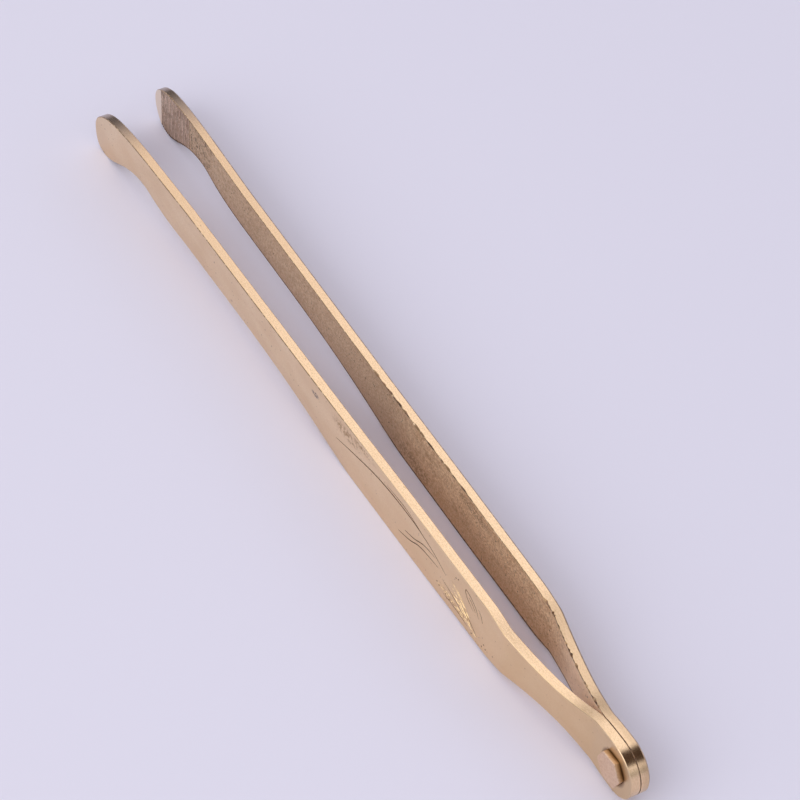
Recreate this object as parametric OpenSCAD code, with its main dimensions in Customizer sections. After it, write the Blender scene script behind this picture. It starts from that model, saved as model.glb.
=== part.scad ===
// Spring tongs: two flat brass strips stand on edge, joined tail to tail by one
// small hexagon-head screw. The strips splay apart just in front of the tail, run
// nearly parallel, and end in drooping jaws with milled gripping faces.
//
// Axes: +X runs from the screw to the jaws, +Y is the left arm, +Z is up.
// Origin: the middle of the length and width, on the table the tongs lie on.

/* [Arms] */
// Distance from the screw axis to the nose of the jaws, mm
reach = 169.5; // [160:0.1:185]
// Thickness of each strip, mm
strip_t = 1.7; // [1.4:0.05:2]
// Radius of the round tail, mm
tail_r = 5.2; // [4.8:0.1:5.4]
// Height of the narrow neck, mm
neck_h = 6.84; // [6:0.02:8]
// Distance from the screw axis to the narrowest place of the neck, mm
neck_x = 15.6; // [14:0.1:17]
// Height of the handle's upper edge above the screw axis, mm
handle_up = 5.45; // [5:0.05:6]
// Depth of the handle's and the jaws' lower edges below the screw axis, mm
rest_drop = 5.8; // [5.5:0.05:6.2]
// Distance from the screw axis to the front end of the handle, mm
handle_x = 74.5; // [70:0.5:80]
// Height of the slim blade's upper edge above the screw axis, mm
blade_up = 5.18; // [5:0.02:5.3]
// Depth of the slim blade's lower edge below the screw axis, mm
blade_drop = 2.6; // [2.2:0.05:3.2]

/* [Jaws] */
// Length of each drooping jaw, mm
jaw_len = 19.5; // [18:0.1:21]
// Depth of the notch behind the jaw, below the screw axis, mm
notch_drop = 1.15; // [0.8:0.05:1.6]
// Pitch of the milled grooves on the gripping faces, mm
groove_pitch = 0.6; // [0.5:0.05:1]
// Number of milled grooves on each gripping face
groove_count = 20; // [8:1:20]
// Depth of each milled groove, mm
groove_deep = 0.12; // [0.08:0.01:0.2]
// Length of the bevel on the inner face at the nose, mm
nose_bevel = 2.1; // [1:0.1:2.4]
// Angle of that bevel, degrees
nose_bevel_angle = 4; // [2:0.5:10]
// How far the left nose stops short of the mean reach and the right one passes it, mm
nose_offset = 0.9; // [0:0.1:1.2]

/* [Bends seen from above] */
// Angle at which each strip splays away from the other, degrees
splay = 9.81; // [8:0.01:11]
// Angle at which each strip still leans outward along the blade, degrees
lean = 0.49; // [0.2:0.01:0.8]
// Distance from the screw axis to the first bend, mm
bend_a_x = 6.2; // [6:0.1:7]
// Distance from the screw axis to the second bend, mm
bend_b_x = 27.2; // [25:0.1:29]
// Radius of both bends at mid thickness, mm
bend_r = 8; // [4:0.5:10]
// Distance behind the notch at which each strip turns outward again, mm
flare_back = 16; // [12:0.5:20]
// Angle of that outward turn, degrees
flare = 1; // [0.2:0.1:1.5]

/* [Screw] */
// Shank radius, mm
shank_r = 1.5; // [1.4:0.05:1.6]
// Hexagon head, width across flats, mm
hex_flats = 5.5; // [5:0.1:6]
// Head height, mm
head_h = 0.95; // [0.8:0.05:1.4]
// Length of shank left standing out of the right tail, mm
shank_end = 0.3; // [0.1:0.05:0.6]
// Turn of the head about its own axis, degrees
head_turn = 4; // [0:1:59]

/* [Fits] */
// Clearance all round the shank in the left tail, which turns on it, mm
bore_gap = 0.05; // [0.03:0.01:0.1]
// Clearance all round the shank where it is screwed into the right tail, mm
thread_gap = 0.01; // [0.01:0.01:0.02]
// Gap between the two tails, and between the left tail and the head, mm
face_gap = 0.05; // [0.03:0.01:0.1]
// Distance from the screw axis to the flexing line across each neck, mm
flex_x = 18; // [16:0.1:20]
// Radius of the rounded end at the flexing line, mm
flex_r = 1.2; // [1.1:0.05:1.3]
// Clearance at the flexing line, mm
flex_gap = 0.03; // [0.02:0.01:0.05]

/* [Hidden] */
brass = [0.80, 0.64, 0.40];
brass_dark = [0.66, 0.52, 0.33];
end_bevel = 0.2;

// Side view stations, from the screw axis
left_nose_x = reach - nose_offset;
right_nose_x = reach + nose_offset;
nose_z = -1.3;
brow_back = 4.5;
brow_z = 3.48;
chin_x = reach - 4.3;
bevel_x = reach - nose_bevel;
notch_x = reach - jaw_len;
blade_back_x = 118;
blade_front_x = notch_x - 13;
belly_x = 58;
handle_back_x = 33;
neck_up = neck_h / 2;

// Plan view: mid-thickness line of the left strip
mid_y = face_gap / 2 + strip_t / 2;
splay_dir = [cos(splay), sin(splay)];
bend_a = [bend_a_x, mid_y];
bend_b = bend_a + splay_dir * (bend_b_x - bend_a_x) / cos(splay);
bend_a_centre = [bend_a_x - bend_r * tan(splay / 2), mid_y + bend_r];
bend_b_start = bend_b - splay_dir * bend_r * tan((splay - lean) / 2);
bend_b_centre = bend_b_start + [splay_dir.y, -splay_dir.x] * bend_r;
flex_point = bend_a + splay_dir * (flex_x - bend_a_x) / cos(splay);
blade_start = bend_b_centre + bend_r * [-sin(lean), cos(lean)];
flare_x = notch_x - flare_back;
flare_point = blade_start + (flare_x - blade_start.x) * [1, tan(lean)];
jaw_turn = lean + flare;

// Points along a cubic curve from a to d, without d itself
function cubic(a, b, c, d, steps = 10) = [
    for (i = [0 : steps - 1]) let (t = i / steps, s = 1 - t)
        s * s * s * a + 3 * s * s * t * b + 3 * s * t * t * c + t * t * t * d
];

// Upper edge from the tail to a nose at nose_x
function upper_edge(nose_x) = let (brow_x = nose_x - brow_back) concat(
    cubic([0, tail_r], [8, tail_r], [neck_x - 7, neck_up], [neck_x, neck_up]),
    cubic([neck_x, neck_up], [neck_x + 8, neck_up], [handle_back_x - 4, handle_up],
          [handle_back_x, handle_up]),
    cubic([handle_x - 22, handle_up], [handle_x - 8, handle_up], [handle_x, blade_up],
          [handle_x + 12, blade_up], 5),
    cubic([notch_x - 3, blade_up], [notch_x + 4, blade_up], [brow_x - 3.7, brow_z + 1.44],
          [brow_x, brow_z], 14),
    cubic([brow_x, brow_z], [brow_x + 1.9, brow_z - 0.74], [nose_x, nose_z + 2.5],
          [nose_x, nose_z])
);

// Lower edge from the nose back to the tail, closed by a square end
function lower_edge(nose_x) = concat(
    cubic([nose_x, nose_z], [nose_x, nose_z - 2.6], [chin_x + 2.8, -rest_drop],
          [chin_x, -rest_drop]),
    cubic([chin_x, -rest_drop], [chin_x - 4.2, -rest_drop], [notch_x + 7.5, -notch_drop],
          [notch_x, -notch_drop], 14),
    cubic([notch_x, -notch_drop], [notch_x - 2.5, -notch_drop], [blade_front_x + 8.5, -blade_drop],
          [blade_front_x, -blade_drop]),
    cubic([blade_back_x, -blade_drop], [handle_x + 15.5, -blade_drop], [handle_x + 8, -rest_drop],
          [handle_x, -rest_drop], 16),
    cubic([belly_x, -rest_drop], [belly_x - 8, -rest_drop], [handle_back_x + 9, -handle_up],
          [handle_back_x, -handle_up], 5),
    cubic([handle_back_x, -handle_up], [handle_back_x - 4, -handle_up], [neck_x + 8, -neck_up],
          [neck_x, -neck_up]),
    cubic([neck_x, -neck_up], [neck_x - 7, -neck_up], [8, -tail_r], [0, -tail_r]),
    [[0, -tail_r], [-tail_r - 1, -tail_r], [-tail_r - 1, tail_r]]
);

// Corner of the outward turn, a distance out from mid thickness
function flare_at(out) = let (half = lean + flare / 2)
    flare_point + out / cos(flare / 2) * [-sin(half), cos(half)];

// One face of the bent left strip, a distance out from mid thickness
function bent_face(out) = concat(
    [[-tail_r - 1, mid_y + out]],
    [for (i = [0 : 4]) let (a = splay * i / 4)
        bend_a_centre + (bend_r - out) * [sin(a), -cos(a)]],
    [for (i = [0 : 4]) let (a = splay + (lean - splay) * i / 4)
        bend_b_centre + (bend_r + out) * [-sin(a), cos(a)]],
    [flare_at(out), flare_at(out) + reach * [cos(jaw_turn), sin(jaw_turn)]]
);

// Point on the inner face of the left jaw at a distance from the screw axis
function inner_at(x) = let (p = flare_at(-strip_t / 2))
    p + (x - p.x) * [1, tan(jaw_turn)];

// What the round tail leaves out of a square end
module tail_corners() {
    difference() {
        translate([-tail_r - 2, -20, -tail_r - 1])
            cube([tail_r + 2, 40, 2 * tail_r + 2]);
        rotate([90, 0, 0])
            cylinder(r = tail_r, h = 44, center = true, $fn = 72);
    }
}

module plan_shape() {
    inner = bent_face(-strip_t / 2);
    outer = bent_face(strip_t / 2);
    count = len(outer);
    polygon(concat(inner, [for (i = [1 : count]) outer[count - i]]));
}

// The whole strip, bent as the left one, screw axis at the origin
module strip(nose_x) {
    difference() {
        intersection() {
            rotate([90, 0, 0])
                linear_extrude(height = 40, center = true)
                    polygon(concat(upper_edge(nose_x), lower_edge(nose_x)));
            linear_extrude(height = 40, center = true)
                plan_shape();
        }
        tail_corners();
    }
}

// Everything in front of the flexing line; a positive grow widens the rounded end
module flex_front(grow) {
    translate([flex_point.x, flex_point.y, -20])
        rotate([0, 0, splay])
            linear_extrude(height = 40) {
                circle(r = flex_r + grow, $fn = 48);
                translate([0, -reach / 2])
                    square([reach, reach]);
            }
}

// V grooves across the gripping face, last one just behind the nose bevel
module milled_grooves() {
    half = groove_pitch * 0.3;
    for (i = [0 : groove_count - 1])
        translate(inner_at(bevel_x - groove_pitch * (i + 0.6)))
            rotate([0, 0, jaw_turn])
                linear_extrude(height = 30, center = true)
                    polygon([[-half, -0.1], [-half, 0], [0, groove_deep], [half, 0], [half, -0.1]]);
}

// Shallow bevel on the inner face at the nose
module nose_cut() {
    translate(inner_at(bevel_x))
        rotate([0, 0, jaw_turn])
            linear_extrude(height = 30, center = true)
                polygon([[0, 0], [0, -1], [4, -1], [4, 4 * tan(nose_bevel_angle)]]);
}

module tail_half(bore_r) {
    difference() {
        strip(reach);
        flex_front(flex_gap);
        rotate([90, 0, 0])
            cylinder(r = bore_r, h = 20, center = true, $fn = 48);
    }
}

module arm_half(nose_x) {
    difference() {
        intersection() {
            strip(nose_x);
            flex_front(0);
        }
        milled_grooves();
        nose_cut();
    }
}

// Hexagon with its corners broken by a cone on the outer face
module hex_block(height) {
    corner = hex_flats / sqrt(3);
    intersection() {
        cylinder(r = corner, h = height, $fn = 6);
        rotate_extrude($fn = 72)
            polygon([[0, 0], [corner, 0], [corner, height - 0.2], [corner - 0.3, height], [0, height]]);
    }
}

// Lift from the screw axis to the table frame
module place() {
    translate([-(right_nose_x - tail_r) / 2, 0, rest_drop])
        children();
}

module left_tail() {
    color(brass)
        place()
            tail_half(shank_r + bore_gap);
}

module left_arm() {
    color(brass)
        place()
            arm_half(left_nose_x);
}

module right_tail() {
    color(brass)
        place()
            mirror([0, 1, 0])
                tail_half(shank_r + thread_gap);
}

module right_arm() {
    color(brass)
        place()
            mirror([0, 1, 0])
                arm_half(right_nose_x);
}

module tail_screw() {
    head_y = face_gap * 1.5 + strip_t;
    shank_l = head_y + face_gap / 2 + strip_t + shank_end;
    color(brass_dark)
        place()
            translate([0, head_y, 0])
                rotate([-90, 0, 0]) {
                    rotate([0, 0, head_turn])
                        hex_block(head_h);
                    translate([0, 0, -shank_l])
                        cylinder(r1 = shank_r - end_bevel, r2 = shank_r, h = end_bevel, $fn = 48);
                    translate([0, 0, end_bevel - shank_l])
                        cylinder(r = shank_r, h = shank_l, $fn = 48);
                }
}

left_tail();
left_arm();
right_tail();
right_arm();
tail_screw();
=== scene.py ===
"""Brass spring tongs on a pale table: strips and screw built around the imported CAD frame."""

import math
import random

import bmesh
import bpy
import numpy as np
from mathutils import Matrix, Vector


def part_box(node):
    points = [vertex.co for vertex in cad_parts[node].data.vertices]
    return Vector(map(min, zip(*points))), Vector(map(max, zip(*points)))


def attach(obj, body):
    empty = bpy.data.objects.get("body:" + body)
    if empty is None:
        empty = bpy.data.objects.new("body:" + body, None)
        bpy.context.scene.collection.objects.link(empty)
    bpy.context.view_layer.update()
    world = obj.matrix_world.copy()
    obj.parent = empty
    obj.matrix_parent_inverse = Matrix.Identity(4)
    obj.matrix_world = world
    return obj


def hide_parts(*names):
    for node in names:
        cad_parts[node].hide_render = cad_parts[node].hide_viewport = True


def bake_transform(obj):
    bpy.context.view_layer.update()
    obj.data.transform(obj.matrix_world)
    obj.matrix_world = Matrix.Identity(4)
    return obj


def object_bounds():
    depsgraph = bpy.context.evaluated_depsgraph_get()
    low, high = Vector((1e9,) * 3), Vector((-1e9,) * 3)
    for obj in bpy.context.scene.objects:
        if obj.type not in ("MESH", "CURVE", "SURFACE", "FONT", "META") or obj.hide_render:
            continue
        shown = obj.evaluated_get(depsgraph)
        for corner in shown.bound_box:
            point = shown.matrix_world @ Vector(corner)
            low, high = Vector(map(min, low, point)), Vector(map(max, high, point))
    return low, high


MM = 0.001

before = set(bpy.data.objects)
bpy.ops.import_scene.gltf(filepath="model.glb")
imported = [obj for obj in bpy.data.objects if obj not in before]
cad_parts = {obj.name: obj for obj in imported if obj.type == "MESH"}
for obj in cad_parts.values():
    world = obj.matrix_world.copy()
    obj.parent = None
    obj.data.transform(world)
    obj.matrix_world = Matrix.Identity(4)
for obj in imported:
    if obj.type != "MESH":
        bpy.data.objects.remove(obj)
cad_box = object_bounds()
scene = bpy.context.scene

# ---------------------------------------------------------------- sizes, mm

# Side view, measured from the screw axis: +X to the jaws, +Z up. Where the arms differ, the
# value is listed by side: 1 for the left arm, -1 for the right arm
REACH = 169.5
TAIL_R = 5.2
NECK_X = 15.6
NECK_UP = 3.42
HANDLE_BACK_X = 33.0
HANDLE_X = 74.5
HANDLE_UP = 5.45
BELLY_X = 58.0
REST_DROP = 5.8
BLADE_UP = 5.18
BLADE_DROP = 2.6
BLADE_BACK_X = 118.0
NOTCH_X = REACH - 19.5
NOTCH_DROP = 1.15
BLADE_FRONT_X = NOTCH_X - 13
BROW_BACK = 4.5
BROW_Z = 3.48
CHIN_X = REACH - 4.3
NOSE_X = {1: REACH - 0.9, -1: REACH + 0.9}
NOSE_Z = -1.3

# Plan view of the left strip
STRIP_T = 1.7
HALF_T = STRIP_T / 2
FACE_GAP = 0.05
MID_Y = FACE_GAP / 2 + HALF_T
SPLAY = math.radians(9.81)
LEAN = math.radians(0.49)
BEND_A_X = 6.2
BEND_B_X = 27.2
BEND_R = 8.0
FLARE = math.radians(1.0)
FLARE_X = NOTCH_X - 16

# Edges and gripping faces: CHAMFER breaks the outer edges and EDGE_BREAK the inner ones
CHAMFER = {1: 0.11, -1: 0.28}
EDGE_BREAK = 0.07
GROOVE_PITCH = 0.6
GROOVE_HALF = 0.3 * GROOVE_PITCH
GROOVE_COUNT = 20
GROOVE_DEEP = 0.12
NOSE_BEVEL = 2.1
NOSE_BEVEL_SLOPE = math.tan(math.radians(4))

GROOVE_CENTRES = [REACH - NOSE_BEVEL - GROOVE_PITCH * (i + 0.6) for i in range(GROOVE_COUNT)]
PAD_START = min(GROOVE_CENTRES) - GROOVE_PITCH / 2

# Screw: HEAD_RIM, HIGH_CORNER and LOW_CORNER round off the head's rim, upper and lower corners
SHANK_R = 1.5
TURNING_BORE_R = 1.55
TAPPED_BORE_R = 1.51
HEX_FLATS = 5.5
HEAD_H = 0.95
HEAD_TURN = math.radians(4)
HEAD_RIM = 0.15
HIGH_CORNER = 0.14
LOW_CORNER = 0.5
SHANK_END = 0.3
SHANK_BEVEL = 0.2
SHANK_IN_HEAD = 0.1
TIP_HOLLOW_R = 0.55
TIP_HOLLOW_DEEP = 0.12

# Screw axis in the row frame
screw_low, screw_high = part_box("tail_screw")
SCREW_X = (screw_low[0] + screw_high[0]) / 2
SCREW_Z = (screw_low[2] + screw_high[2]) / 2


def to_row(x, y, z):
    """A point measured from the screw axis in mm, in the row frame in metres."""
    return Vector((SCREW_X + x * MM, y * MM, SCREW_Z + z * MM))


def from_row(point):
    """The reverse of to_row."""
    return ((point[0] - SCREW_X) / MM, point[1] / MM, (point[2] - SCREW_Z) / MM)


# ---------------------------------------------------------------- camera

CAMERA_AIM = to_row(82.3, -7.3, 0)
CAMERA_DISTANCE = 0.583
CAMERA_ELEVATION = 46.2
CAMERA_HEADING = -31.18
CAMERA_ROLL = math.radians(2.67)
CAMERA_LENS = 157.5


def direction(heading_deg, elevation_deg):
    """Unit vector with a heading from +X towards +Y and an elevation above the table."""
    heading, elevation = math.radians(heading_deg), math.radians(elevation_deg)
    level = math.cos(elevation)
    return Vector((level * math.cos(heading), level * math.sin(heading), math.sin(elevation)))


def make_camera():
    """The photograph's camera, looking down along the tongs from the tail end."""
    data = bpy.data.cameras.new("camera")
    data.lens = CAMERA_LENS
    data.sensor_width = 36.0
    data.clip_start = 0.01
    camera = bpy.data.objects.new("camera", data)
    scene.collection.objects.link(camera)
    forward = direction(CAMERA_HEADING, -CAMERA_ELEVATION)
    turn = forward.to_track_quat("-Z", "Y").to_matrix() @ Matrix.Rotation(CAMERA_ROLL, 3, "Z")
    camera.matrix_world = Matrix.Translation(CAMERA_AIM - forward * CAMERA_DISTANCE) @ turn.to_4x4()
    scene.camera = camera


make_camera()

# ---------------------------------------------------------------- materials


class Shader:
    """A material whose textures are laid out in mm from the screw axis."""

    def __init__(self, name, roughness, metallic=1.0):
        self.material = bpy.data.materials.new(name)
        self.material.use_nodes = True
        self.nodes = self.material.node_tree.nodes
        self.links = self.material.node_tree.links
        self.bsdf = self.nodes["Principled BSDF"]
        self.bsdf.inputs["Metallic"].default_value = metallic
        self.bsdf.inputs["Roughness"].default_value = roughness
        place = self.nodes.new("ShaderNodeAttribute")
        place.attribute_name = "rest"
        self.place = place.outputs["Vector"]

    def put(self, value, socket):
        """Links value to the socket, or sets it there when it is a plain number or colour."""
        if isinstance(value, bpy.types.NodeSocket):
            self.links.new(value, socket)
        elif isinstance(value, tuple) and len(value) == 3 and socket.type == "RGBA":
            socket.default_value = (*value, 1)
        else:
            socket.default_value = value

    def math(self, operation, a, b=0.0, clamp=False):
        node = self.nodes.new("ShaderNodeMath")
        node.operation = operation
        node.use_clamp = clamp
        self.put(a, node.inputs[0])
        self.put(b, node.inputs[1])
        return node.outputs[0]

    def vector(self, operation, a, b):
        node = self.nodes.new("ShaderNodeVectorMath")
        node.operation = operation
        self.put(a, node.inputs[0])
        self.put(b, node.inputs[1])
        return node.outputs["Value" if operation in ("DISTANCE", "LENGTH") else "Vector"]

    def noise(self, per_mm, detail=3.0, rough=0.55, shift=0.0):
        """Noise from 0 to 1 with its own number of features per mm along X, Y and Z."""
        scaled = self.vector("MULTIPLY", self.place, per_mm)
        moved = self.vector("ADD", scaled, (shift, shift * 0.7, shift * 1.3))
        node = self.nodes.new("ShaderNodeTexNoise")
        self.put(moved, node.inputs["Vector"])
        node.inputs["Scale"].default_value = 1.0
        node.inputs["Detail"].default_value = detail
        node.inputs["Roughness"].default_value = rough
        return node.outputs[0]

    def step(self, value, low, high):
        """0 below low, 1 above high, smooth between."""
        node = self.nodes.new("ShaderNodeMapRange")
        node.interpolation_type = "SMOOTHSTEP"
        self.put(value, node.inputs[0])
        node.inputs[1].default_value = low
        node.inputs[2].default_value = high
        return node.outputs[0]

    def mix(self, factor, a, b):
        """Colour a where factor is 0 and colour b where it is 1."""
        node = self.nodes.new("ShaderNodeMix")
        node.data_type = "RGBA"
        self.put(factor, node.inputs[0])
        self.put(a, node.inputs[6])
        self.put(b, node.inputs[7])
        return node.outputs[2]

    def axis(self, which):
        """Distance from the screw axis along X (0), Y (1) or Z (2), mm."""
        node = self.nodes.new("ShaderNodeSeparateXYZ")
        self.put(self.place, node.inputs[0])
        return node.outputs[which]

    def patch(self, x, z, long, high):
        """1 at a place on the strip, falling to 0 over an ellipse of the given half sizes."""
        away = self.vector("SUBTRACT", self.place, (x, 0.0, z))
        flat = self.vector("MULTIPLY", away, (1 / long, 0.0, 1 / high))
        return self.step(self.vector("LENGTH", flat, (0.0, 0.0, 0.0)), 1.0, 0.3)

    def finish(self, color, roughness=None, height=None, depth_mm=0.01):
        """Sets the colour and, where given, the roughness and a relief; returns the material."""
        self.put(color, self.bsdf.inputs["Base Color"])
        if roughness is not None:
            self.put(roughness, self.bsdf.inputs["Roughness"])
        if height is not None:
            bump = self.nodes.new("ShaderNodeBump")
            bump.inputs["Strength"].default_value = 1.0
            bump.inputs["Distance"].default_value = depth_mm * MM
            self.put(height, bump.inputs["Height"])
            self.put(bump.outputs[0], self.bsdf.inputs["Normal"])
        return self.material


BRASS = (0.79, 0.59, 0.37)
BRASS_PALE = (0.85, 0.67, 0.45)
BRASS_WARM = (0.70, 0.48, 0.28)
BROWN = (0.30, 0.17, 0.09)
DARK_BROWN = (0.07, 0.035, 0.02)
# painted shade colour for the lower part of the jaws' gripping faces
JAW_LOW_SHADE = (0.42, 0.27, 0.17)
DULL_METAL = 0.75


def outer_face_brass():
    """Satin face: fine grain, a slow change of tone, painted shade darker towards the bottom and in a
    ring round the screw head, sparse pits, stains by the screw and handle.
    """
    s = Shader("satin_brass", 0.33)
    grain = s.noise((3.4, 3.4, 3.4), 3.0, 0.6)
    cloud = s.noise((0.12, 0.3, 0.30), 3.0)
    pits = s.step(s.noise((1.9, 1.9, 1.9), 1.0, 0.4, 7.0), 0.735, 0.77)
    color = s.mix(s.step(cloud, 0.3, 0.7), BRASS, BRASS_PALE)
    color = s.mix(s.math("MULTIPLY", s.step(grain, 0.35, 0.68), 0.35), color, BRASS_WARM)
    # painted shade: the face grows darker towards its lower edge
    color = s.mix(s.math("MULTIPLY", s.step(s.axis(2), 2.0, -5.0), 0.45), color, (0.68, 0.49, 0.31))
    handled = s.step(s.axis(0), 95.0, 20.0)
    color = s.mix(s.math("MULTIPLY", handled, 0.4), color, (0.80, 0.56, 0.29))
    tail = s.step(s.axis(0), 13.0, -1.0)
    color = s.mix(s.math("MULTIPLY", tail, 0.45), color, (0.58, 0.43, 0.25))
    speckle = s.step(s.noise((1.5, 1.5, 1.5), 4.0, 0.75, 3.0), 0.44, 0.56)
    smudge = s.math("MAXIMUM", s.patch(77.0, 3.1, 6.0, 1.7), s.patch(71.5, 4.3, 5.0, 0.7))
    left = s.step(s.axis(1), -1.0, 1.0)
    speckle = s.math("MULTIPLY", speckle, left)
    smudge = s.math("MULTIPLY", smudge, speckle)
    color = s.mix(s.math("MULTIPLY", smudge, 0.8), color, (0.34, 0.18, 0.05))
    spot = s.math("MULTIPLY", s.patch(87.6, 2.7, 1.7, 0.75), s.step(speckle, 0.0, 0.6))
    color = s.mix(s.math("MULTIPLY", spot, 0.9), color, (0.12, 0.09, 0.10))
    away = s.vector("LENGTH", s.vector("MULTIPLY", s.place, (1.0, 0.0, 1.0)), (0.0, 0.0, 0.0))
    around = s.math("MULTIPLY", s.step(away, 2.6, 1.7), s.step(grain, 0.42, 0.56))
    # painted shade: a dark ring just outside the screw head on the left face, joined with a real stain
    # round the screw hole
    ring = s.math("MAXIMUM", s.math("MULTIPLY", s.step(away, 3.55, 2.9), left), around)
    color = s.mix(s.math("MULTIPLY", ring, 0.85), color, (0.24, 0.13, 0.06))
    color = s.mix(s.math("MULTIPLY", pits, 0.7), color, BROWN)
    rough = s.math("ADD", 0.29, s.math("MULTIPLY", cloud, 0.1))
    return s.finish(color, rough, s.math("SUBTRACT", grain, s.math("MULTIPLY", pits, 2.0)), 0.006)


def inner_face_brass():
    """Inner face: matt and speckled, stained brown in places, with painted shade darkening it towards
    its lower edge.
    """
    s = Shader("inner_brass", 0.45, DULL_METAL)
    grain = s.noise((2.6, 2.6, 2.6), 4.0, 0.7)
    stain = s.step(s.noise((0.16, 0.5, 0.45), 5.0, 0.7, 5.0), 0.50, 0.68)
    low = s.step(s.axis(2), 2.5, -5.5)
    worn_end = s.step(s.axis(0), 143.0, 149.0)
    pits = s.step(s.noise((2.2, 2.2, 2.2), 2.0, 0.5, 11.0), 0.66, 0.71)
    many = s.step(s.noise((1.5, 1.5, 1.5), 4.0, 0.65, 17.0), 0.54, 0.62)
    pits = s.math("MAXIMUM", pits, s.math("MULTIPLY", many, worn_end))
    mottle = s.step(s.noise((0.9, 0.9, 0.9), 6.0, 0.75, 21.0), 0.47, 0.62)
    dull = s.step(s.axis(0), 68.0, 82.0)
    color = s.mix(s.step(grain, 0.38, 0.62), (1.0, 0.81, 0.58), (0.72, 0.50, 0.30))
    color = s.mix(s.math("MULTIPLY", stain, 0.28), color, (0.42, 0.25, 0.12))
    color = s.mix(s.math("MULTIPLY", mottle, 0.30), color, (0.44, 0.27, 0.13))
    # painted shade: darker towards the lower edge, where less light from above reaches the face
    color = s.mix(s.math("MULTIPLY", low, 0.6), color, (0.56, 0.33, 0.15))
    pale = s.step(s.axis(0), 28.0, 17.0)
    color = s.mix(s.math("MULTIPLY", pale, 0.65), color, (1.0, 0.84, 0.67))
    splash = s.math("MAXIMUM", s.patch(72.0, -3.6, 9.0, 2.2), s.patch(52.0, 3.6, 7.0, 1.4))
    splash = s.math("MULTIPLY", splash, s.step(grain, 0.44, 0.56))
    color = s.mix(s.math("MULTIPLY", splash, 0.5), color, (0.22, 0.11, 0.05))
    color = s.mix(s.math("MULTIPLY", dull, 0.42), color, (0.46, 0.34, 0.25))
    color = s.mix(s.math("MULTIPLY", pits, 0.7), color, DARK_BROWN)
    rough = s.math("ADD", 0.5, s.math("MULTIPLY", grain, 0.16))
    return s.finish(color, rough, s.math("SUBTRACT", grain, s.math("MULTIPLY", pits, 1.5)), 0.012)


def edge_brass():
    """Edges: brushed along the strip, brighter, speckled, with short dark nicks, and painted shade on
    the jaws' edges.
    """
    s = Shader("brushed_edge", 0.2)
    streaks = s.noise((0.6, 9.0, 0.6), 4.0, 0.65)
    speck = s.noise((3.4, 5.5, 3.4), 3.0, 0.65, 4.0)
    nicks = s.step(s.noise((1.3, 2.6, 1.3), 1.0, 0.4, 9.0), 0.75, 0.80)
    color = s.mix(s.step(streaks, 0.3, 0.75), (0.94, 0.69, 0.43), (0.84, 0.585, 0.345))
    color = s.mix(s.math("MULTIPLY", s.step(speck, 0.42, 0.68), 0.42), color, (0.66, 0.43, 0.22))
    color = s.mix(s.math("MULTIPLY", nicks, 0.6), color, BROWN)
    warm = s.step(s.axis(0), 80.0, 150.0)
    color = s.mix(s.math("MULTIPLY", warm, 0.4), color, (0.66, 0.44, 0.26))
    right_neck = s.math("MULTIPLY", s.step(s.axis(1), 0.0, -1.0), s.step(s.axis(0), 36.0, 24.0))
    color = s.mix(s.math("MULTIPLY", right_neck, 0.4), color, (0.50, 0.35, 0.21))
    # painted shade: the jaws' curved top edges are darkened, standing in for their reflection of the dim
    # room ahead of the jaws
    jaw_edge_shade = s.step(s.axis(0), 149.0, 163.0)
    color = s.mix(s.math("MULTIPLY", jaw_edge_shade, 0.8), color, (0.30, 0.235, 0.20))
    rough = s.math("ADD", 0.16, s.math("MULTIPLY", speck, 0.14))
    return s.finish(color, rough, s.math("ADD", streaks, speck), 0.006)


def bevel_brass():
    """The narrow broken edges: polished by the hand near the neck and handle, yet darkened near the neck
    with painted shade to dim its highlight, and dark brown painted shade towards the jaws and along the
    right arm.
    """
    s = Shader("broken_edge", 0.34)
    speck = s.noise((1.2, 1.2, 1.2), 3.0, 0.65, 6.0)
    # painted shade: the dark brown stands in for the dark line where the broken edge turns away from the
    # light
    far = s.step(s.axis(0), 66.0, 84.0)
    right = s.step(s.axis(1), 0.0, -2.5)
    brown = s.math("MULTIPLY", s.math("MAXIMUM", far, right), s.step(speck, 0.35, 0.5))
    color = s.mix(s.step(speck, 0.45, 0.7), (0.76, 0.56, 0.35), BRASS_WARM)
    # painted shade: darker near the neck to dim the edge's highlight
    neck = s.math("MULTIPLY", s.step(s.axis(0), 4.0, 9.0), s.step(s.axis(0), 40.0, 30.0))
    color = s.mix(s.math("MULTIPLY", neck, 0.5), color, (0.42, 0.28, 0.15))
    return s.finish(s.mix(s.math("MULTIPLY", brown, 0.85), color, (0.24, 0.14, 0.07)))


def seam_shade_and_dirt_brass():
    """Dark brown: painted shade in the seam between the tails, and dirt along the inner faces' lower
    edge and in some nicks.
    """
    s = Shader("seam_shade_and_dirt", 0.65, metallic=0.4)
    speck = s.noise((1.1, 1.1, 1.1), 4.0, 0.7, 13.0)
    return s.finish(s.mix(s.step(speck, 0.42, 0.62), DARK_BROWN, (0.34, 0.20, 0.11)), None, speck, 0.02)


def pad_brass():
    """Gripping face between its grooves: dull, greyish, pitted and stained, with painted shade darker
    towards the bottom.
    """
    s = Shader("jaw_land", 0.45, DULL_METAL)
    grain = s.noise((2.4, 2.4, 2.4), 4.0, 0.7, 1.0)
    stain = s.step(s.noise((0.6, 0.6, 0.5), 6.0, 0.8, 8.0), 0.47, 0.60)
    color = s.mix(s.step(grain, 0.36, 0.66), (0.98, 0.79, 0.63), (0.62, 0.45, 0.33))
    color = s.mix(s.math("MULTIPLY", stain, 0.75), color, (0.22, 0.12, 0.065))
    # painted shade: darker towards the lower edge
    color = s.mix(s.math("MULTIPLY", s.step(s.axis(2), 2.5, -5.0), 0.45), color, JAW_LOW_SHADE)
    return s.finish(color, None, grain, 0.015)


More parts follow.
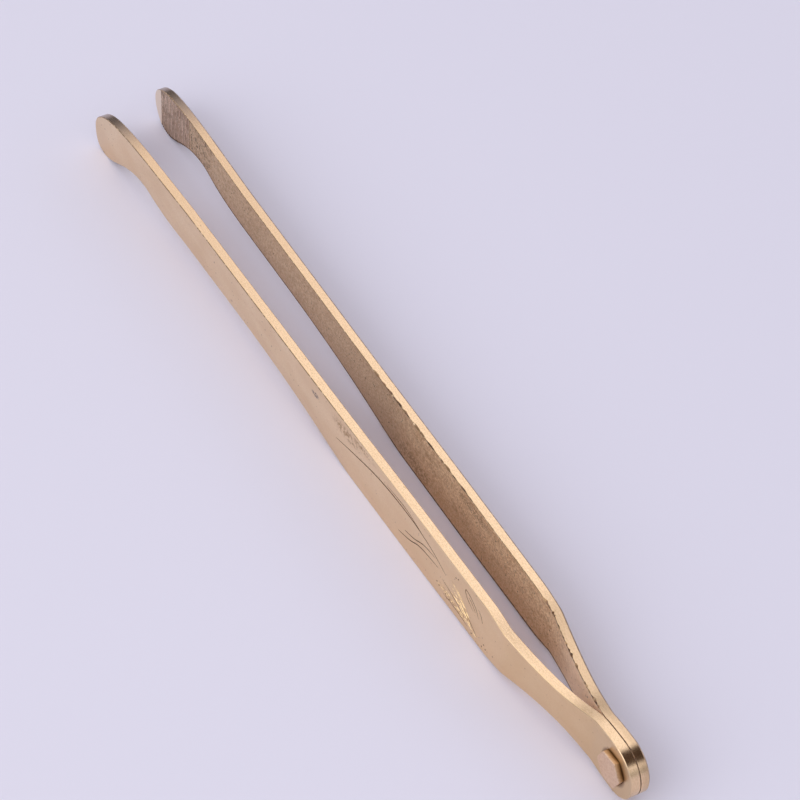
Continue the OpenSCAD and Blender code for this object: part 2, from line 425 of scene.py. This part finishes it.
def groove_brass():
    """Inside the milled grooves: darkened in places, worn bright in others, with painted shade darker
    towards the bottom.
    """
    s = Shader("jaw_groove", 0.5, DULL_METAL)
    grain = s.noise((1.1, 1.1, 0.8), 4.0, 0.7, 3.0)
    along = s.math("SUBTRACT", s.axis(0), PAD_START)
    deep = s.step(s.math("PINGPONG", along, GROOVE_PITCH / 2), 0.13, 0.24)
    wall = s.mix(s.step(grain, 0.36, 0.66), (0.92, 0.73, 0.58), (0.50, 0.34, 0.23))
    # painted shade: the walls darker towards the lower edge
    wall = s.mix(s.math("MULTIPLY", s.step(s.axis(2), 2.5, -5.0), 0.45), wall, JAW_LOW_SHADE)
    dirt = s.math("MULTIPLY", deep, s.step(grain, 0.66, 0.46))
    return s.finish(s.mix(s.math("MULTIPLY", dirt, 0.9), wall, (0.10, 0.055, 0.03)), None, grain, 0.01)


def nose_brass():
    """Smooth pale band at the nose of each jaw."""
    s = Shader("jaw_nose", 0.3)
    grain = s.noise((3.0, 3.0, 3.0), 3.0)
    return s.finish(s.mix(grain, (0.80, 0.63, 0.45), (0.86, 0.72, 0.55)), None, grain, 0.003)


def engraved_brass():
    """Inside the engraved lines: dark brown, partly metallic patina."""
    s = Shader("engraved_line", 0.7, metallic=0.6)
    worn = s.noise((1.5, 1.5, 1.5), 3.0, 0.6, 12.0)
    return s.finish(s.mix(s.step(worn, 0.5, 0.75), (0.11, 0.045, 0.016), (0.22, 0.11, 0.045)))


def bright_cut_brass():
    """Inside the fan's bright strokes: bare yellow metal, stained in places."""
    s = Shader("bright_cut", 0.4)
    worn = s.noise((1.1, 1.1, 1.1), 3.0, 0.65, 14.0)
    return s.finish(s.mix(s.step(worn, 0.46, 0.58), (0.92, 0.67, 0.32), (0.28, 0.16, 0.07)))


def bore_brass():
    """Inside the screw's holes: turned metal with rings along the bore."""
    s = Shader("bored_brass", 0.35)
    return s.finish(s.mix(s.noise((0.3, 4.0, 0.3), 2.0), BRASS, BRASS_WARM))


def screw_brass():
    """Screw: satin face, a little pinker than the strips, with fine pits, and painted shade darkening
    the head's flats towards the tail face.
    """
    s = Shader("screw_brass", 0.28)
    grain = s.noise((3.0, 3.0, 3.0), 4.0, 0.65, 2.0)
    pits = s.step(s.noise((2.4, 2.4, 2.4), 1.0, 0.4, 5.0), 0.74, 0.78)
    color = s.mix(s.step(grain, 0.35, 0.7), (0.82, 0.60, 0.41), (0.70, 0.47, 0.29))
    color = s.mix(s.math("MULTIPLY", pits, 0.35), color, BROWN)
    # painted shade: the head's flats darker near the tail face they stand on
    near_tail = s.step(s.axis(1), 2.45, 1.85)
    color = s.mix(s.math("MULTIPLY", near_tail, 0.85), color, (0.26, 0.14, 0.05))
    return s.finish(color, None, s.math("SUBTRACT", grain, pits), 0.006)


(OUTER, INNER, EDGE, BEVEL, SEAM_SHADE_AND_DIRT, GROOVE, PAD, NOSE, ENGRAVED, BRIGHT_CUT, BORE) = range(11)
STRIP_MATERIALS = [
    outer_face_brass(), inner_face_brass(), edge_brass(), bevel_brass(), seam_shade_and_dirt_brass(), groove_brass(),
    pad_brass(), nose_brass(), engraved_brass(), bright_cut_brass(), bore_brass(),
]

# ---------------------------------------------------------------- outline of a strip


def cubic(a, b, c, d, steps):
    """Points along a cubic curve, without its last point."""
    t = np.arange(steps)[:, None] / steps
    s = 1 - t
    a, b, c, d = (np.array(p, float) for p in (a, b, c, d))
    return s**3 * a + 3 * s**2 * t * b + 3 * s * t**2 * c + t**3 * d


def tail_arc(sign):
    """Quarter of the round tail, from its end up (sign 1) or down (sign -1)."""
    angles = np.linspace(0, math.pi / 2, 40)[:-1]
    return np.stack([-TAIL_R * np.cos(angles), sign * TAIL_R * np.sin(angles)], axis=1)


def neck_curves(sign):
    """Tail to handle, which is alike above and below the screw axis."""
    neck, handle, tail = sign * NECK_UP, sign * HANDLE_UP, sign * TAIL_R
    return np.concatenate([
        cubic((0, tail), (8, tail), (NECK_X - 7, neck), (NECK_X, neck), 30),
        cubic((NECK_X, neck), (NECK_X + 8, neck), (HANDLE_BACK_X - 4, handle),
              (HANDLE_BACK_X, handle), 30),
    ])


def upper_edge(nose_x):
    """Upper edge of the strip in the side view, tail to nose."""
    brow_x = nose_x - BROW_BACK
    return np.concatenate([
        tail_arc(1),
        neck_curves(1),
        cubic((HANDLE_X - 22, HANDLE_UP), (HANDLE_X - 8, HANDLE_UP), (HANDLE_X, BLADE_UP),
              (HANDLE_X + 12, BLADE_UP), 20),
        cubic((NOTCH_X - 3, BLADE_UP), (NOTCH_X + 4, BLADE_UP), (brow_x - 3.7, BROW_Z + 1.44),
              (brow_x, BROW_Z), 50),
        cubic((brow_x, BROW_Z), (brow_x + 1.9, BROW_Z - 0.74), (nose_x, NOSE_Z + 2.5),
              (nose_x, NOSE_Z), 50),
        [[nose_x, NOSE_Z]],
    ])


def lower_edge(nose_x):
    """Lower edge of the strip in the side view, tail to nose."""
    jaw_to_handle = np.concatenate([
        cubic((nose_x, NOSE_Z), (nose_x, NOSE_Z - 2.6), (CHIN_X + 2.8, -REST_DROP),
              (CHIN_X, -REST_DROP), 50),
        cubic((CHIN_X, -REST_DROP), (CHIN_X - 4.2, -REST_DROP), (NOTCH_X + 7.5, -NOTCH_DROP),
              (NOTCH_X, -NOTCH_DROP), 50),
        cubic((NOTCH_X, -NOTCH_DROP), (NOTCH_X - 2.5, -NOTCH_DROP),
              (BLADE_FRONT_X + 8.5, -BLADE_DROP), (BLADE_FRONT_X, -BLADE_DROP), 30),
        cubic((BLADE_BACK_X, -BLADE_DROP), (HANDLE_X + 15.5, -BLADE_DROP),
              (HANDLE_X + 8, -REST_DROP), (HANDLE_X, -REST_DROP), 40),
        cubic((BELLY_X, -REST_DROP), (BELLY_X - 8, -REST_DROP), (HANDLE_BACK_X + 9, -HANDLE_UP),
              (HANDLE_BACK_X, -HANDLE_UP), 20),
    ])
    return np.concatenate([tail_arc(-1), neck_curves(-1), jaw_to_handle[::-1]])


TOLERANCE = 1e-3


def edge_normals(points, sign):
    """Unit normals of an edge in the side view, pointing out of the strip."""
    step = np.gradient(points, axis=0)
    normal = np.stack([-step[:, 1], step[:, 0]], axis=1) * sign
    return normal / np.linalg.norm(normal, axis=1)[:, None]


def edge_at(points, normals, x):
    """The edge's point at x and its outward normal there."""
    if abs(x + TAIL_R) < TOLERANCE:
        return np.array([x, 0.0]), np.array([-1.0, 0.0])
    if abs(x - points[-1, 0]) < TOLERANCE:
        return np.array([x, NOSE_Z]), np.array([1.0, 0.0])
    z = np.interp(x, points[:, 0], points[:, 1])
    normal = np.array([np.interp(x, points[:, 0], normals[:, i]) for i in (0, 1)])
    return np.array([x, z]), normal / np.linalg.norm(normal)


BEND_STEPS = 9


def bent_layer(out):
    """Plan view of the left strip's layer at a distance out from mid thickness: x and y."""
    splay_dir = np.array([math.cos(SPLAY), math.sin(SPLAY)])
    bend_b = np.array([BEND_A_X, MID_Y]) + splay_dir * (BEND_B_X - BEND_A_X) / splay_dir[0]
    centre_a = np.array([BEND_A_X - BEND_R * math.tan(SPLAY / 2), MID_Y + BEND_R])
    start_b = bend_b - splay_dir * BEND_R * math.tan((SPLAY - LEAN) / 2)
    centre_b = start_b + BEND_R * np.array([splay_dir[1], -splay_dir[0]])
    points = [[-TAIL_R - 1, MID_Y + out]]
    for a in np.linspace(0, SPLAY, BEND_STEPS):
        points.append(centre_a + (BEND_R - out) * np.array([math.sin(a), -math.cos(a)]))
    for a in np.linspace(SPLAY, LEAN, BEND_STEPS):
        points.append(centre_b + (BEND_R + out) * np.array([-math.sin(a), math.cos(a)]))
    blade_end = centre_b + BEND_R * np.array([-math.sin(LEAN), math.cos(LEAN)])
    blade_end += (FLARE_X - blade_end[0]) * np.array([1, math.tan(LEAN)])
    half = LEAN + FLARE / 2
    points.append(blade_end + out * np.array([-math.sin(half), math.cos(half)]))
    points.append(points[-1] + REACH * np.array([math.cos(LEAN + FLARE), math.sin(LEAN + FLARE)]))
    return np.array(points)


LAYERS = {out: bent_layer(out) for out in (-HALF_T, HALF_T)}


def layer_y(x, out):
    """Y of the left strip at x, a distance out from mid thickness."""
    inner = np.interp(x, LAYERS[-HALF_T][:, 0], LAYERS[-HALF_T][:, 1])
    outer = np.interp(x, LAYERS[HALF_T][:, 0], LAYERS[HALF_T][:, 1])
    return float(inner + (outer - inner) * (out + HALF_T) / STRIP_T)


# ---------------------------------------------------------------- meshes and cutters


def link(name, mesh):
    """A new object that shows mesh."""
    piece = bpy.data.objects.new(name, mesh)
    scene.collection.objects.link(piece)
    return piece


def from_bmesh(name, bm):
    """A new object made from bm, which is freed."""
    mesh = bpy.data.meshes.new(name)
    bm.to_mesh(mesh)
    bm.free()
    return link(name, mesh)


def give_materials(piece, materials):
    for material in materials:
        piece.data.materials.append(material)


def cut(piece, cutter):
    """Takes cutter out of piece, and removes the cutter."""
    change = piece.modifiers.new("cut", "BOOLEAN")
    change.operation = "DIFFERENCE"
    change.solver = "MANIFOLD"
    change.object = cutter
    bpy.context.view_layer.update()
    graph = bpy.context.evaluated_depsgraph_get()
    mesh = bpy.data.meshes.new_from_object(piece.evaluated_get(graph))
    piece.modifiers.clear()
    old, piece.data = piece.data, mesh
    mesh.name = piece.name
    bpy.data.meshes.remove(old)
    bpy.data.objects.remove(cutter)


def finish_mesh(piece, sharp_deg=28):
    """Smooth shading with sharp edges kept, and the place of each point in mm for the textures."""
    mesh = piece.data
    mesh.shade_smooth()
    mesh.set_sharp_from_angle(angle=math.radians(sharp_deg))
    rest = mesh.attributes.new("rest", "FLOAT_VECTOR", "POINT")
    rest.data.foreach_set("vector", [c for v in mesh.vertices for c in from_row(v.co)])


# ---------------------------------------------------------------- strips

# Rows across a face, as parts of the way from its upper edge to its lower edge
ROWS = (0, 0.035, 0.14, 0.27, 0.4, 0.53, 0.66, 0.79, 0.9, 0.965, 1)
NOSE_START = REACH - NOSE_BEVEL
# Ragged stretches of the right arm's inner upper edge: from, to and how deep
RAGGED = [(8.0, 30.0, 0.32), (52.0, 86.0, 0.24)]
SMOOTH_BURR = 0.025
NICKS_WITH_DIRT = 0.6
WELD = 0.002
# The tails touch as far as SEAM_END, where their inner edges are painted dark as shade in the seam; dirt
# lies along the inner faces' lower edge from LOW_DIRT on
SEAM_END = 7
LOW_DIRT = 6
# Slices of the strip: from, to and spacing, closer at the bends and in front of the outward turn
SLICES = [
    (0.5, 5.2, 0.5), (5.2, 7.4, 0.2), (7.6, 26, 0.4), (26, 28.6, 0.2), (28.8, FLARE_X, 0.8),
    (FLARE_X, PAD_START, 0.4),
]


def stations(nose_x):
    """Distances from the screw axis at which the strip is sliced."""
    quarter = np.linspace(0, math.pi / 2, 25)
    xs = list(-TAIL_R * np.cos(quarter))
    for start, end, spacing in SLICES:
        xs += list(np.arange(start, end, spacing))
    for centre in GROOVE_CENTRES:
        xs += [centre - GROOVE_HALF, centre, centre + GROOVE_HALF]
    xs += list(NOSE_START + (nose_x - NOSE_START) * np.sin(quarter))
    return sorted(set(np.round(xs, 4)))


def raggedness(side, x):
    """How deep the nicks in the inner upper edge are at x, mm; 0 where it is smooth."""
    depths = [deep for start, end, deep in RAGGED if side < 0 and start < x < end]
    return depths[0] if depths else 0.0


def inner_cut(x):
    """How deep the gripping face is cut at x, mm."""
    if any(abs(x - centre) < TOLERANCE for centre in GROOVE_CENTRES):
        return GROOVE_DEEP
    return max(0.0, x - NOSE_START) * NOSE_BEVEL_SLOPE


def slice_points(upper, lower, x, burr, chamfer):
    """The slice's loop of (x, out, z): inner face down, bottom, outer face up, top."""
    up, up_normal = edge_at(*upper, x)
    low, low_normal = edge_at(*lower, x)
    down = np.array(ROWS)[:, None]
    inner_out = inner_cut(x) - HALF_T
    in_up, in_low = up - up_normal * burr, low - low_normal * EDGE_BREAK
    out_up, out_low = up - up_normal * chamfer, low - low_normal * chamfer
    loop = [(p[0], inner_out, p[1]) for p in in_up + (in_low - in_up) * down]
    loop += [(low[0], inner_out + EDGE_BREAK, low[1]), (low[0], HALF_T - chamfer, low[1])]
    loop += [(p[0], HALF_T, p[1]) for p in out_up + (out_low - out_up) * down[::-1]]
    loop += [(up[0], HALF_T - chamfer, up[1]), (up[0], inner_out + burr, up[1])]
    return loop


def zone(k, count, x):
    """Material of the face after loop point k in a slice around x."""
    last = len(ROWS) - 1
    if k < last:
        if x > NOSE_START:
            return NOSE
        if k == last - 1 and x > LOW_DIRT:
            return SEAM_SHADE_AND_DIRT
        if x > PAD_START:
            return GROOVE if any(abs(x - c) < GROOVE_HALF for c in GROOVE_CENTRES) else PAD
        return INNER
    if k in (last, count - 1):
        # inner edge breaks: painted shade along the tails' seam before SEAM_END, dirt along the lower
        # edge
        return SEAM_SHADE_AND_DIRT if x < SEAM_END or k == last else BEVEL
    if k in (last + 1, count - 2):
        return EDGE
    if last + 3 <= k < count - 3:
        return OUTER
    return BEVEL


def make_strip(name, side, seed):
    """One whole bent strip. side is 1 for the left arm and -1 for the right arm."""
    draw = random.Random(seed)
    bm = bmesh.new()
    upper, lower = upper_edge(NOSE_X[side]), lower_edge(NOSE_X[side])
    upper = (upper, edge_normals(upper, 1))
    lower = (lower, edge_normals(lower, -1))
    xs = stations(NOSE_X[side])
    slices = []
    for x in xs:
        ragged = max(raggedness(side, x), SMOOTH_BURR)
        burr = EDGE_BREAK + (ragged * draw.random() ** 2 if xs[0] < x < xs[-1] else 0)
        loop = slice_points(upper, lower, x, burr, CHAMFER[side])
        slices.append([bm.verts.new(to_row(p[0], side * layer_y(p[0], p[1]), p[2])) for p in loop])
    count = len(slices[0])
    for i in range(len(xs) - 1):
        for k in range(count):
            following = (k + 1) % count
            quad = [slices[i][k], slices[i][following], slices[i + 1][following], slices[i + 1][k]]
            face = bm.faces.new(quad if side > 0 else quad[::-1])
            middle = (xs[i] + xs[i + 1]) / 2
            nicked = k == count - 1 and raggedness(side, middle) > 0
            dirty = nicked and draw.random() < NICKS_WITH_DIRT
            face.material_index = SEAM_SHADE_AND_DIRT if dirty else zone(k, count, middle)
    bmesh.ops.remove_doubles(bm, verts=bm.verts, dist=WELD * MM)
    bmesh.ops.recalc_face_normals(bm, faces=bm.faces)
    strip = from_bmesh(name, bm)
    give_materials(strip, STRIP_MATERIALS)
    return strip


def bore_tail(strip, radius):
    """Drills the screw's hole through the tail."""
    bm = bmesh.new()
    turn = Matrix.Rotation(math.pi / 2, 4, "X")
    bmesh.ops.create_cone(bm, cap_ends=True, segments=64, radius1=radius * MM, radius2=radius * MM,
                          depth=10 * MM, matrix=Matrix.Translation(to_row(0, 0, 0)) @ turn)
    for face in bm.faces:
        face.material_index = BORE
    drill = from_bmesh("drill", bm)
    give_materials(drill, STRIP_MATERIALS)
    cut(strip, drill)


# ---------------------------------------------------------------- engraved grass

LINE_HALF = 0.14
LINE_DEEP = 0.1
# How far a cutter stands out of the face, as a part of the line's depth
CUTTER_RISE = 0.4
DOT_R = 0.19
# How far a dot's centre stands out of the face, as a part of its radius
DOT_RISE = 0.55


def curve_through(points, spacing=0.45):
    """A smooth path through (x, z) points, sampled evenly."""
    points = np.array(points, float)
    padded = np.concatenate([[2 * points[0] - points[1]], points, [2 * points[-1] - points[-2]]])
    path = []
    for i in range(len(points) - 1):
        p0, p1, p2, p3 = padded[i:i + 4]
        steps = max(3, int(np.linalg.norm(p2 - p1) / spacing))
        t = (np.arange(steps) / steps)[:, None]
        path.append(0.5 * (2 * p1 + (p2 - p0) * t + (2 * p0 - 5 * p1 + 4 * p2 - p3) * t**2
                           + (3 * p1 - p0 - 3 * p2 + p3) * t**3))
    return np.concatenate([*path, points[-1:]])


def engrave(strip, points, half=LINE_HALF, finish=ENGRAVED):
    """Cuts a V-shaped line, tapering at both ends, through (x, z) points on the left outer face."""
    path = curve_through(points)
    count = len(path)
    along = np.gradient(path, axis=0)
    along /= np.linalg.norm(along, axis=1)[:, None]
    bm = bmesh.new()
    rings = []
    for i, (x, z) in enumerate(path):
        taper = 0.3 + 0.7 * math.sin(math.pi * (i + 0.5) / count) ** 0.5
        across = np.array([-along[i][1], along[i][0]]) * half * taper * (1 + CUTTER_RISE)
        ring = []
        rise = CUTTER_RISE * LINE_DEEP
        for side, out in ((1, rise), (-1, rise), (0, -LINE_DEEP * taper)):
            px, pz = x + across[0] * side, z + across[1] * side
            ring.append(bm.verts.new(to_row(px, layer_y(px, HALF_T) + out, pz)))
        rings.append(ring)
    for i in range(count - 1):
        for k in range(3):
            j = (k + 1) % 3
            bm.faces.new([rings[i][k], rings[i][j], rings[i + 1][j], rings[i + 1][k]])
    bm.faces.new(rings[0][::-1])
    bm.faces.new(rings[-1])
    for face in bm.faces:
        face.material_index = finish
    bmesh.ops.recalc_face_normals(bm, faces=bm.faces)
    tool = from_bmesh("engraver", bm)
    give_materials(tool, STRIP_MATERIALS)
    cut(strip, tool)


def dimple(strip, x, z):
    """Presses one small round dot into the left strip's outer face."""
    bm = bmesh.new()
    place = to_row(x, layer_y(x, HALF_T) + DOT_R * DOT_RISE, z)
    bmesh.ops.create_icosphere(bm, subdivisions=2, radius=DOT_R * MM, matrix=Matrix.Translation(place))
    for face in bm.faces:
        face.material_index = ENGRAVED
    tool = from_bmesh("punch", bm)
    give_materials(tool, STRIP_MATERIALS)
    cut(strip, tool)


def engrave_grass(strip):
    """A plain tuft of grass: long dark blades, a fan of short bright ones, one leaf and some seeds."""
    engrave(strip, [(80.5, -0.9), (74, 0.9), (66, 2.7), (57, 3.3), (50, 2.6), (44.5, 0.9)])
    engrave(strip, [(59.6, -3.1), (56, -2.0), (52.5, -0.4), (47, 0.3)], half=0.11)
    engrave(strip, [(57.6, -1.2), (54.5, -0.3), (51.5, 1.1), (48.0, 1.6)], half=0.10)
    engrave(strip, [(63.5, 3.6), (57.5, 3.9), (51.5, 2.9)], half=0.09)
    draw = random.Random(5)
    foot_x, foot_z = 33.8, -4.3
    for i in range(11):
        lift = math.radians(2 + 3.4 * i)
        near = 0.8 + 4.5 * draw.random()
        far = near + 4.0 + 5.0 * draw.random()
        ends = [(foot_x + r * math.cos(lift), foot_z + r * math.sin(lift)) for r in (near, far)]
        middle = ((ends[0][0] + ends[1][0]) / 2, (ends[0][1] + ends[1][1]) / 2 + 0.25)
        engrave(strip, [ends[0], middle, ends[1]], half=0.08, finish=BRIGHT_CUT if i % 4 else ENGRAVED)
    engrave(strip, [(34.4, 0.7), (35.6, 2.5), (38.4, 3.7), (38.2, 2.3), (36.0, 0.9)], half=0.09)
    engrave(strip, [(35.4, 1.2), (36.6, 2.3), (37.5, 2.7)], half=0.07)
    engrave(strip, [(33.2, 0.9), (33.7, 2.0), (34.6, 2.9)], half=0.07)
    for x, z in ((46.4, -3.3), (47.1, -3.0), (43.9, -3.9), (44.4, -3.4), (43.2, -3.6), (40.9, 3.6),
                 (41.6, 3.3), (33.0, -4.4), (31.9, -4.1), (32.4, -3.5), (36.2, -4.6)):
        dimple(strip, x, z)


left_strip = make_strip("left_strip", 1, 3)
bore_tail(left_strip, TURNING_BORE_R)
engrave_grass(left_strip)
finish_mesh(left_strip)
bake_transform(left_strip)
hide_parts("left_tail", "left_arm")

right_strip = make_strip("right_strip", -1, 8)
bore_tail(right_strip, TAPPED_BORE_R)
finish_mesh(right_strip)
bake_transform(right_strip)
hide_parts("right_tail", "right_arm")

# ---------------------------------------------------------------- screw


def make_screw():
    """Hexagon head with broken corners, worn rounder on its lower side, and a plain shank."""
    under_head = STRIP_T + 1.5 * FACE_GAP
    shank_tip = -(STRIP_T + FACE_GAP / 2 + SHANK_END)
    bm = bmesh.new()
    corner_r = HEX_FLATS / math.sqrt(3)
    corners = [HEAD_TURN + math.pi / 3 * k for k in range(6)]
    under = [bm.verts.new(to_row(corner_r * math.cos(a), under_head, -corner_r * math.sin(a)))
             for a in corners]
    front = [bm.verts.new(to_row(corner_r * math.cos(a), under_head + HEAD_H, -corner_r * math.sin(a)))
             for a in corners]
    bm.faces.new(under)
    bm.faces.new(front[::-1])
    for k in range(6):
        j = (k + 1) % 6
        bm.faces.new([under[k], front[k], front[j], under[j]])
    bm.edges.ensure_lookup_table()
    sides = [e for e in bm.edges if {v in under for v in e.verts} == {True, False}]
    low = [e for e in sides if e.verts[0].co.z < SCREW_Z]
    high = [e for e in sides if e.verts[0].co.z >= SCREW_Z]
    bmesh.ops.bevel(bm, geom=high, offset=HIGH_CORNER * MM, segments=3, affect="EDGES", profile=0.5)
    bmesh.ops.bevel(bm, geom=low, offset=LOW_CORNER * MM, segments=5, affect="EDGES", profile=0.5)
    top_y = (under_head + HEAD_H) * MM
    rim = [e for e in bm.edges if all(abs(v.co.y - top_y) < 1e-7 for v in e.verts)]
    bmesh.ops.bevel(bm, geom=rim, offset=HEAD_RIM * MM, segments=2, affect="EDGES", profile=0.5)
    root = under_head + SHANK_IN_HEAD
    profile = [(0.0, root), (SHANK_R, root), (SHANK_R, shank_tip + SHANK_BEVEL),
               (SHANK_R - SHANK_BEVEL, shank_tip), (TIP_HOLLOW_R, shank_tip),
               (0.0, shank_tip + TIP_HOLLOW_DEEP)]
    turns = 64
    rings = []
    for r, y in profile:
        if r == 0:
            rings.append([bm.verts.new(to_row(0, y, 0))])
            continue
        rings.append([bm.verts.new(to_row(r * math.cos(2 * math.pi * k / turns), y,
                                          r * math.sin(2 * math.pi * k / turns))) for k in range(turns)])
    for a, b in zip(rings, rings[1:]):
        for k in range(turns):
            j = (k + 1) % turns
            quad = [a[k % len(a)], a[j % len(a)], b[j % len(b)], b[k % len(b)]]
            bm.faces.new(list(dict.fromkeys(quad)))
    bmesh.ops.recalc_face_normals(bm, faces=bm.faces)
    return from_bmesh("screw", bm)


screw = make_screw()
give_materials(screw, [screw_brass()])
finish_mesh(screw, sharp_deg=20)
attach(screw, "right_tail")
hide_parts("tail_screw")

# ---------------------------------------------------------------- table and light

# The tent's light by the sine of the height above the table
TENT_RISE = (0.15, 0.55)
HORIZON = (0.46, 0.46, 0.50)
TENT = (0.97, 0.96, 1.06)
# Dark openings in the tent: heading, elevation, half angle and softness in degrees, light
OPENINGS = [
    (224, 59, 26, 6, (0.045, 0.022, 0.01)),
    (-31, 4, 22, 9, (0.20, 0.19, 0.20)),
]


def make_table():
    """A large pale table top, level with the bottom of the tongs."""
    bpy.ops.mesh.primitive_plane_add(size=6, location=(0, 0, cad_box[0][2]))
    table = bpy.context.object
    table.name = "table"
    s = Shader("pale_table", 0.75, metallic=0.0)
    s.put((0.78, 0.76, 0.85), s.bsdf.inputs["Base Color"])
    table.data.materials.append(s.material)


def make_softbox(name, heading, elevation, distance, wide, high, power):
    """A rectangular light that faces the middle of the tongs."""
    data = bpy.data.lights.new(name, "AREA")
    data.shape = "RECTANGLE"
    data.size = wide
    data.size_y = high
    data.energy = power
    lamp = bpy.data.objects.new(name, data)
    scene.collection.objects.link(lamp)
    toward = direction(heading, elevation)
    lamp.location = toward * distance
    lamp.rotation_euler = toward.to_track_quat("Z", "Y").to_euler()


def make_world():
    """A light tent: dimmer at the horizon, bright above, with the dark openings of OPENINGS."""
    world = bpy.data.worlds.new("tent")
    scene.world = world
    world.use_nodes = True
    nodes, links = world.node_tree.nodes, world.node_tree.links

    def node(kind, **inputs):
        """A new node; an input's name is i and its number."""
        made = nodes.new(kind)
        for socket, value in inputs.items():
            made.inputs[int(socket[1:])].default_value = value
        return made

    where = node("ShaderNodeTexCoord")
    height = node("ShaderNodeSeparateXYZ")
    links.new(where.outputs["Generated"], height.inputs[0])
    rise = node("ShaderNodeMapRange", i1=TENT_RISE[0], i2=TENT_RISE[1])
    rise.interpolation_type = "SMOOTHSTEP"
    links.new(height.outputs[2], rise.inputs[0])
    wall = node("ShaderNodeMix", i6=(*HORIZON, 1), i7=(*TENT, 1))
    wall.data_type = "RGBA"
    links.new(rise.outputs[0], wall.inputs[0])
    light = wall.outputs[2]
    for heading, elevation, half, soft, color in OPENINGS:
        toward = node("ShaderNodeVectorMath", i1=direction(heading, elevation))
        toward.operation = "DOT_PRODUCT"
        links.new(where.outputs["Generated"], toward.inputs[0])
        inside = node("ShaderNodeMapRange", i1=math.cos(math.radians(half + soft)),
                      i2=math.cos(math.radians(half - soft)))
        inside.interpolation_type = "SMOOTHSTEP"
        links.new(toward.outputs["Value"], inside.inputs[0])
        tent = node("ShaderNodeMix", i7=(*color, 1))
        tent.data_type = "RGBA"
        links.new(inside.outputs[0], tent.inputs[0])
        links.new(light, tent.inputs[6])
        light = tent.outputs[2]
    links.new(light, nodes["Background"].inputs["Color"])


make_table()
make_world()
make_softbox("over_jaws", heading=-31, elevation=56, distance=0.9, wide=0.85, high=0.45, power=0.25)
make_softbox("left_side", heading=100, elevation=34, distance=1.0, wide=1.1, high=0.75, power=3.2)
scene.view_settings.view_transform = "Standard"
